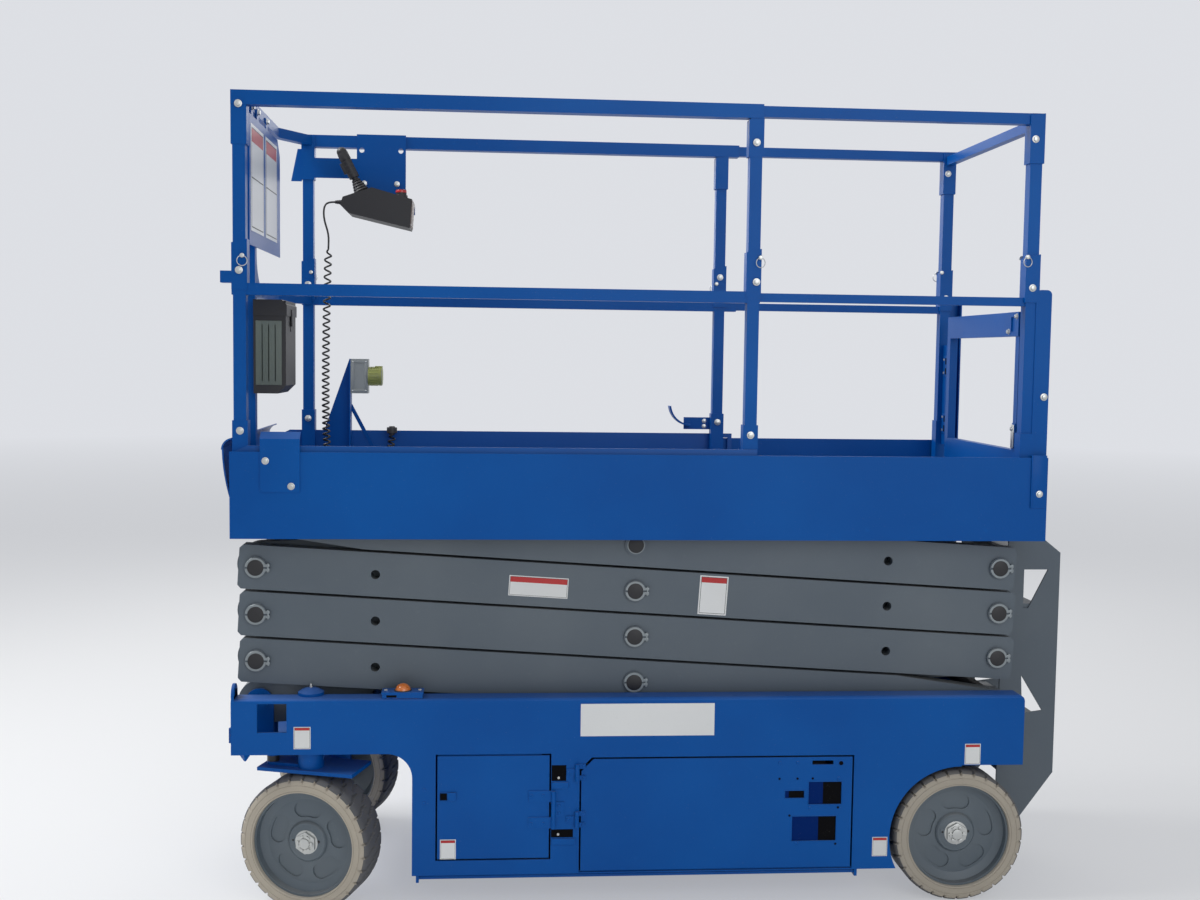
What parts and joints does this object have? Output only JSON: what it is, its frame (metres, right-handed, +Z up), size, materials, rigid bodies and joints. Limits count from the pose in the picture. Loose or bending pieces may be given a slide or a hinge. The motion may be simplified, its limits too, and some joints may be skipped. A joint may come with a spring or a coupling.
{
  "type": "electric slab scissor lift",
  "caption": "Stowed narrow electric scissor lift: scissor stack on a wheeled chassis, platform with telescoping guard rails, roll-out deck, entry gate and ladder.",
  "frame": {"origin": "on the ground under the middle of the overall box", "axes": "+X towards the ladder end, -X the steering end, -Y the machine's left side as pictured, +Z up"},
  "size_m": [2.44, 0.9158, 2.2593],
  "materials": {
    "blue_paint": "satin blue paint",
    "grey_paint": "satin slate grey paint",
    "rim_grey": "grey paint",
    "tyre": "non-marking beige-grey solid rubber",
    "black_plastic": "matt black",
    "black_cord": "black curly cord",
    "zinc": "zinc plated",
    "black_steel": "black painted steel",
    "chrome_rod": "chromed rod",
    "outlet_grey": "weatherproof outlet",
    "orange_lens": "orange lamp dome"
  },
  "bodies": {
    "chassis": {"chassis_sides": "blue_paint", "chassis_deck": "blue_paint", "chassis_belly": "blue_paint", "base_tracks": "blue_paint", "side_hinges": "zinc", "ladder": "grey_paint", "beacon": "orange_lens", "rear_axles": "blue_paint"},
    "steer_left": {"steer_yoke_left": "blue_paint"},
    "steer_right": {"steer_yoke_right": "blue_paint"},
    "tie_rod": {"tie_rod": "black_steel"},
    "inner_1": {"inner_arms_1": "grey_paint"},
    "outer_1": {"outer_arms_1": "grey_paint"},
    "inner_2": {"inner_arms_2": "grey_paint"},
    "outer_2": {"outer_arms_2": "grey_paint"},
    "inner_3": {"inner_arms_3": "grey_paint"},
    "outer_3": {"outer_arms_3": "grey_paint"},
    "inner_4": {"inner_arms_4": "grey_paint"},
    "outer_4": {"outer_arms_4": "grey_paint"},
    "platform": {"platform_deck": "blue_paint", "platform_skirts": "blue_paint", "top_tracks": "blue_paint", "main_rails": "blue_paint", "entry_bar": "blue_paint", "retainer_plate": "blue_paint"},
    "base_blocks": {"base_slide_blocks": "black_plastic"},
    "top_blocks": {"top_slide_blocks": "black_plastic"},
    "lift_barrel": {"lift_barrel": "black_steel"},
    "lift_rod": {"lift_rod": "chrome_rod"},
    "extension": {"extension_deck": "blue_paint", "extension_rails": "blue_paint", "front_rail": "blue_paint", "document_box": "black_plastic", "sign_panel": "blue_paint", "control_bracket": "blue_paint", "control_box": "black_plastic", "control_cord_lead": "black_cord", "control_cord_coil": "black_cord", "outlet_bracket": "blue_paint", "outlet_box": "outlet_grey", "release_handle": "blue_paint"},
    "gate": {"gate": "blue_paint"},
    "tray_left": {"tray_left": "blue_paint", "tray_block_left": "black_steel"},
    "small_door_left": {"small_door_left": "blue_paint"},
    "pothole_guard_left": {"pothole_guard_left": "blue_paint"},
    "tray_right": {"tray_right": "blue_paint", "tray_block_right": "black_steel"},
    "small_door_right": {"small_door_right": "blue_paint"},
    "pothole_guard_right": {"pothole_guard_right": "blue_paint"},
    "front_wheel_left": {"front_rim_left": "rim_grey", "front_tyre_left": "tyre"},
    "rear_wheel_left": {"rear_rim_left": "rim_grey", "rear_tyre_left": "tyre"},
    "front_wheel_right": {"front_rim_right": "rim_grey", "front_tyre_right": "tyre"},
    "rear_wheel_right": {"rear_rim_right": "rim_grey", "rear_tyre_right": "tyre"}
  },
  "joints": [
    {"name": "lift", "type": "hinge", "parent": "chassis", "child": "inner_1", "pos_m": [-1.138, 0, 0.564], "axis": [0, -1, 0], "range_deg": [0, 55.76]},
    {"name": "centre_pins_1", "type": "hinge", "parent": "inner_1", "child": "outer_1", "pos_m": [-0.0765, 0, 0.62975], "axis": [0, 1, 0], "range_deg": [0, 111.52]},
    {"name": "front_pins_1", "type": "hinge", "parent": "outer_1", "child": "inner_2", "pos_m": [-1.138, 0, 0.6955], "axis": [0, -1, 0], "range_deg": [0, 111.52]},
    {"name": "centre_pins_2", "type": "hinge", "parent": "inner_2", "child": "outer_2", "pos_m": [-0.0765, 0, 0.76125], "axis": [0, 1, 0], "range_deg": [0, 111.52]},
    {"name": "front_pins_2", "type": "hinge", "parent": "outer_2", "child": "inner_3", "pos_m": [-1.138, 0, 0.827], "axis": [0, -1, 0], "range_deg": [0, 111.52]},
    {"name": "centre_pins_3", "type": "hinge", "parent": "inner_3", "child": "outer_3", "pos_m": [-0.0765, 0, 0.89275], "axis": [0, 1, 0], "range_deg": [0, 111.52]},
    {"name": "front_pins_3", "type": "hinge", "parent": "outer_3", "child": "inner_4", "pos_m": [-1.138, 0, 0.9585], "axis": [0, -1, 0], "range_deg": [0, 111.52]},
    {"name": "centre_pins_4", "type": "hinge", "parent": "inner_4", "child": "outer_4", "pos_m": [-0.0765, 0, 1.02425], "axis": [0, 1, 0], "range_deg": [0, 111.52]},
    {"name": "platform_pivot", "type": "hinge", "parent": "outer_4", "child": "platform", "pos_m": [-1.138, 0, 1.09], "axis": [0, -1, 0], "range_deg": [0, 55.76]},
    {"name": "base_block_pivot", "type": "hinge", "parent": "outer_1", "child": "base_blocks", "pos_m": [0.985, 0, 0.564], "axis": [0, -1, 0], "range_deg": [0, 55.76]},
    {"name": "top_block_pivot", "type": "hinge", "parent": "inner_4", "child": "top_blocks", "pos_m": [0.985, 0, 1.09], "axis": [0, 1, 0], "range_deg": [0, 55.76]},
    {"name": "barrel_pivot", "type": "hinge", "parent": "inner_1", "child": "lift_barrel", "pos_m": [0.70846, 0, 0.67837], "axis": [0, 1, 0], "range_deg": [0, 120.81]},
    {"name": "rod_slide", "type": "slide", "parent": "lift_barrel", "child": "lift_rod", "axis": [-0.9942, 0, 0.1074], "range_m": [0, 0.9003]},
    {"name": "extension_slide", "type": "slide", "parent": "platform", "child": "extension", "axis": [-1, 0, 0], "range_m": [0, 0.9]},
    {"name": "gate_hinge", "type": "hinge", "parent": "platform", "child": "gate", "pos_m": [1.03, 0.293, 1.25], "axis": [0, 0, -1], "range_deg": [0, 90]},
    {"name": "tray_hinge_left", "type": "hinge", "parent": "chassis", "child": "tray_left", "pos_m": [-0.24, -0.412, 0.265], "axis": [0, 0, -1], "range_deg": [0, 90]},
    {"name": "small_door_hinge_left", "type": "hinge", "parent": "chassis", "child": "small_door_left", "pos_m": [-0.306, -0.412, 0.3], "axis": [0, 0, 1], "range_deg": [0, 90]},
    {"name": "pothole_guard_hinge_left", "type": "hinge", "parent": "chassis", "child": "pothole_guard_left", "pos_m": [0, -0.385, 0.089], "axis": [-1, 0, 0], "range_deg": [0, 90]},
    {"name": "tray_hinge_right", "type": "hinge", "parent": "chassis", "child": "tray_right", "pos_m": [-0.24, 0.412, 0.265], "axis": [0, 0, 1], "range_deg": [0, 90]},
    {"name": "small_door_hinge_right", "type": "hinge", "parent": "chassis", "child": "small_door_right", "pos_m": [-0.306, 0.412, 0.3], "axis": [0, 0, -1], "range_deg": [0, 90]},
    {"name": "pothole_guard_hinge_right", "type": "hinge", "parent": "chassis", "child": "pothole_guard_right", "pos_m": [0, 0.385, 0.089], "axis": [1, 0, 0], "range_deg": [0, 90]},
    {"name": "steer_left_hinge", "type": "hinge", "parent": "chassis", "child": "steer_left", "pos_m": [-0.985, -0.345, 0.5], "axis": [0, 0, 1], "range_deg": [-43, 77]},
    {"name": "steer_right_hinge", "type": "hinge", "parent": "chassis", "child": "steer_right", "pos_m": [-0.985, 0.345, 0.5], "axis": [0, 0, 1], "range_deg": [-43, 77]},
    {"name": "tie_rod_hinge", "type": "hinge", "parent": "steer_left", "child": "tie_rod", "pos_m": [-1.09498, -0.31138, 0.41], "axis": [0, 0, -1], "range_deg": [-43, 77]},
    {"name": "front_wheel_spin_left", "type": "hinge", "parent": "steer_left", "child": "front_wheel_left", "pos_m": [-0.985, -0.345, 0.1905], "axis": [0.2924, 0.9563, 0], "continuous": true},
    {"name": "rear_wheel_spin_left", "type": "hinge", "parent": "chassis", "child": "rear_wheel_left", "pos_m": [0.865, -0.3415, 0.1905], "axis": [0, 1, 0], "continuous": true},
    {"name": "front_wheel_spin_right", "type": "hinge", "parent": "steer_right", "child": "front_wheel_right", "pos_m": [-0.985, 0.345, 0.1905], "axis": [0.2924, 0.9563, 0], "continuous": true},
    {"name": "rear_wheel_spin_right", "type": "hinge", "parent": "chassis", "child": "rear_wheel_right", "pos_m": [0.865, 0.3415, 0.1905], "axis": [0, 1, 0], "continuous": true}
  ],
  "couplings": [
    {"joint": "centre_pins_1", "follows": "lift", "ratio": 2},
    {"joint": "front_pins_1", "follows": "lift", "ratio": 2},
    {"joint": "centre_pins_2", "follows": "lift", "ratio": 2},
    {"joint": "front_pins_2", "follows": "lift", "ratio": 2},
    {"joint": "centre_pins_3", "follows": "lift", "ratio": 2},
    {"joint": "front_pins_3", "follows": "lift", "ratio": 2},
    {"joint": "centre_pins_4", "follows": "lift", "ratio": 2},
    {"joint": "platform_pivot", "follows": "lift", "ratio": 1},
    {"joint": "base_block_pivot", "follows": "lift", "ratio": 1},
    {"joint": "top_block_pivot", "follows": "lift", "ratio": 1},
    {"joint": "barrel_pivot", "follows": "lift", "ratio": 2.1664},
    {"joint": "rod_slide", "follows": "lift", "m_per_rad": 0.925},
    {"joint": "steer_right_hinge", "follows": "steer_left_hinge", "ratio": 1},
    {"joint": "tie_rod_hinge", "follows": "steer_left_hinge", "ratio": 1}
  ]
}
